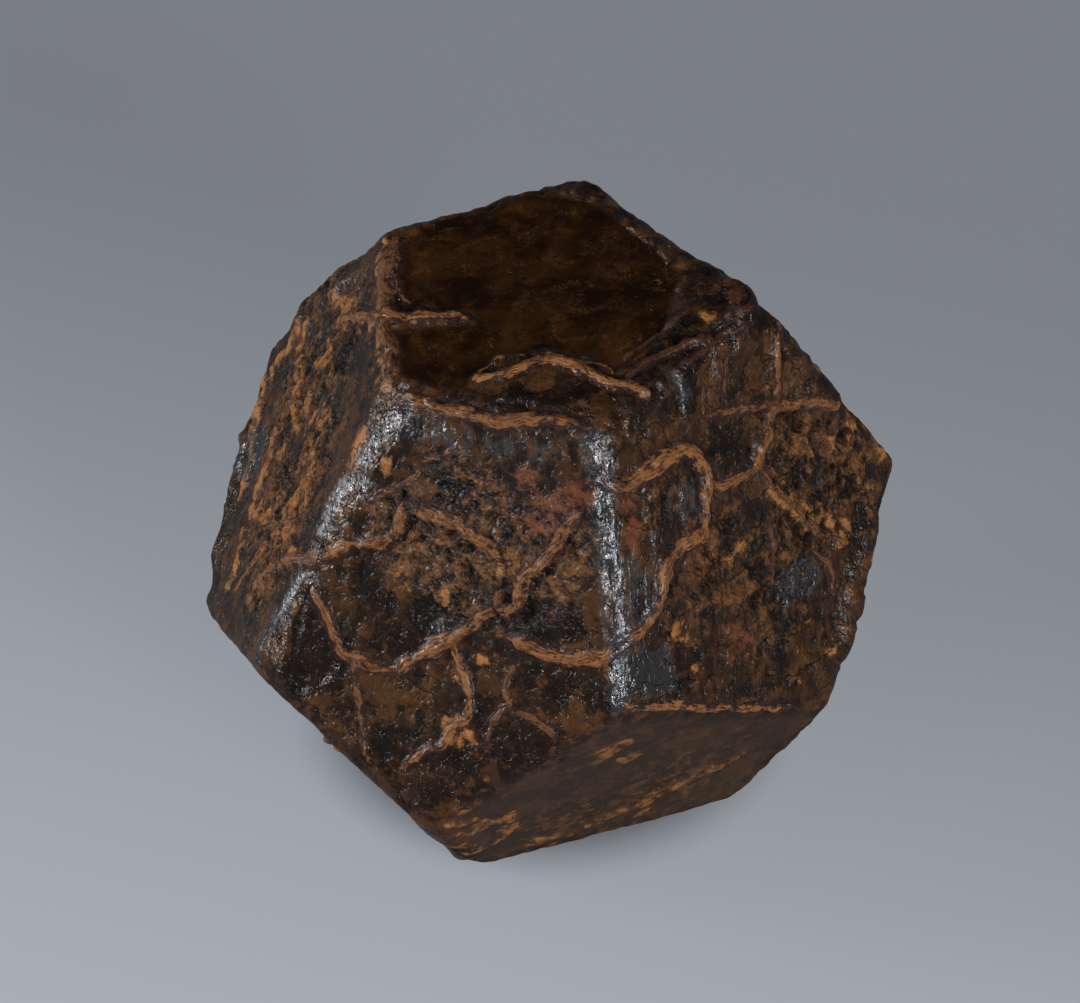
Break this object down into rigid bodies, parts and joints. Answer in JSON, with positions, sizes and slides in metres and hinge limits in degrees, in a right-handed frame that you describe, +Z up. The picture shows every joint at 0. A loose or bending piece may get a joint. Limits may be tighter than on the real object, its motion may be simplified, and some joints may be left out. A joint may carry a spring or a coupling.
{
  "type": "pyrite crystal",
  "caption": "Loose pyritohedral pyrite crystal weathered to brown limonite, with worn edges, raised iron oxide veins and smooth sunken panes",
  "frame": {"origin": "bottom middle of the crystal's box, on the surface it rests on", "axes": "+Z up, -Y towards the front corner view, -Z out of the face it rests on"},
  "size_m": [0.0293, 0.0301, 0.025],
  "materials": {
    "limonite": "satin, dark brown with ochre veins and worn grey sheen"
  },
  "bodies": {
    "root": {"pyrite_crystal": "limonite"}
  },
  "joints": []
}
